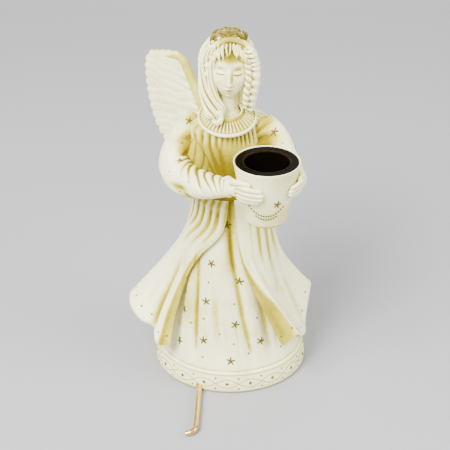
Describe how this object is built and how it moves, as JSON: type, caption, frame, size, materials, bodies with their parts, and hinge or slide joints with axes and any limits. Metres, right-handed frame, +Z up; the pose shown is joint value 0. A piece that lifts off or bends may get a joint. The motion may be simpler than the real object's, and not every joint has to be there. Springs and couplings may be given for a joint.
{
  "type": "angel figurine candle and stocking holder",
  "caption": "Standing ceramic angel that holds a small pail with a lift-out candle cup, with a brass hook that turns in the weighted foot.",
  "frame": {"origin": "middle of the oval foot, on the surface that the figure stands on", "axes": "+Z up, the figure looks along -Y, +X towards the figure's left hand"},
  "size_m": [0.1365, 0.1791, 0.2698],
  "materials": {
    "ivory_ceramic": "satin ivory paint with an olive-gold wash left in the folds",
    "gilt_ceramic": "dull antique gold paint",
    "dark_metal": "gloss black-brown enamel",
    "brass": "bright plated",
    "cast_iron": "as cast",
    "steel": "plain",
    "felt": "pressed felt"
  },
  "bodies": {
    "figure": {"gown": "ivory_ceramic", "robe_panel_left": "ivory_ceramic", "robe_back": "ivory_ceramic", "robe_panel_right": "ivory_ceramic", "bodice": "ivory_ceramic", "wing_left": "ivory_ceramic", "wing_peg_left": "steel", "wing_right": "ivory_ceramic", "wing_peg_right": "steel", "sleeve_right": "ivory_ceramic", "sleeve_left": "ivory_ceramic", "hand_right": "ivory_ceramic", "hand_left": "ivory_ceramic", "pail": "ivory_ceramic", "head": "ivory_ceramic", "hair": "ivory_ceramic", "collar": "ivory_ceramic", "hair_lock_right": "ivory_ceramic", "hair_lock_left": "ivory_ceramic", "tiara": "gilt_ceramic", "hook_bush": "brass", "ballast": "cast_iron", "base_plate": "steel", "base_screw_1": "steel", "base_screw_2": "steel", "base_screw_3": "steel", "felt_pad": "felt"},
    "hook_body": {"hook": "brass", "hook_washer": "steel", "hook_collar": "steel"},
    "candle_cup_body": {"candle_cup": "dark_metal"}
  },
  "joints": [
    {"name": "hook_turn", "type": "hinge", "parent": "figure", "child": "hook_body", "pos_m": [-0.0229, -0.0453, 0.004], "axis": [0.0384, 0.9993, 0], "range_deg": [0, 180]},
    {"name": "candle_cup_lift", "type": "slide", "parent": "figure", "child": "candle_cup_body", "axis": [0, 0, 1], "range_m": [0, 0.045]}
  ]
}
